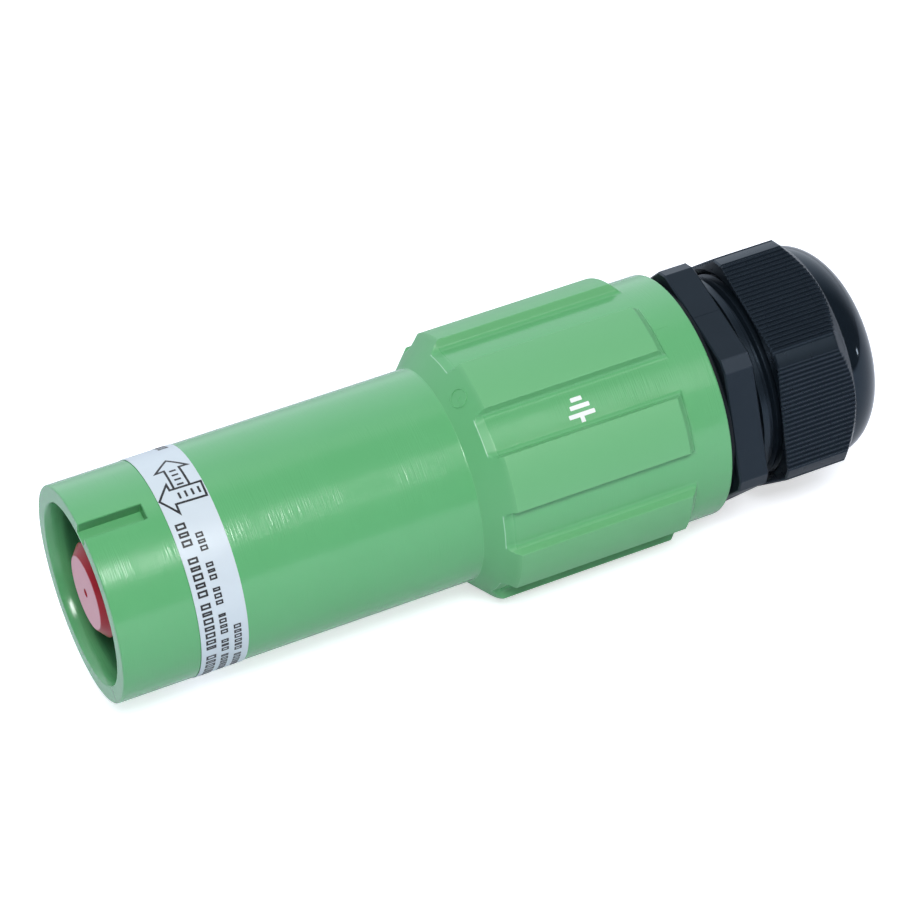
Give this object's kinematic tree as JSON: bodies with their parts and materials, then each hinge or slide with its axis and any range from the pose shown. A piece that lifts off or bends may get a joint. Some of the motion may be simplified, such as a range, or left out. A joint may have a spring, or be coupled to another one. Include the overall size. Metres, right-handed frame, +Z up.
{
  "type": "single pole power connector",
  "caption": "Inline single pole power connector: keyed plastic barrel round a finger-safe pin, padded grip and a cable gland behind it.",
  "frame": {"origin": "on the ground under the axis, midway between the mating face and the tip of the cap nut", "axes": "+X along the axis from the mating face to the cable, +Z up, +Y away from the viewer"},
  "size_m": [0.1892, 0.0616, 0.0617],
  "materials": {
    "green_plastic": "satin moulded",
    "black_plastic": "satin moulded",
    "black_rubber": "soft sheen",
    "red_plastic": "moulded",
    "label_film": "printed film",
    "ivory_plastic": "moulded",
    "silver_plate": "silver plated",
    "steel": "plain"
  },
  "bodies": {
    "root": {"housing": "green_plastic", "label_band": "label_film", "finger_guard": "red_plastic", "contact_pin": "silver_plate", "cable_socket": "silver_plate", "cable_screws": "steel", "insulator_bush": "ivory_plastic", "contact_o_ring": "black_rubber", "front_washer": "steel", "retaining_ring": "steel", "thrust_washer": "steel", "front_seal": "black_rubber", "rear_liner": "ivory_plastic", "gland_gasket": "black_rubber", "gland_body": "black_plastic", "clamp_cage": "black_plastic", "cable_seal": "black_rubber", "cap_nut": "black_plastic"}
  },
  "joints": []
}
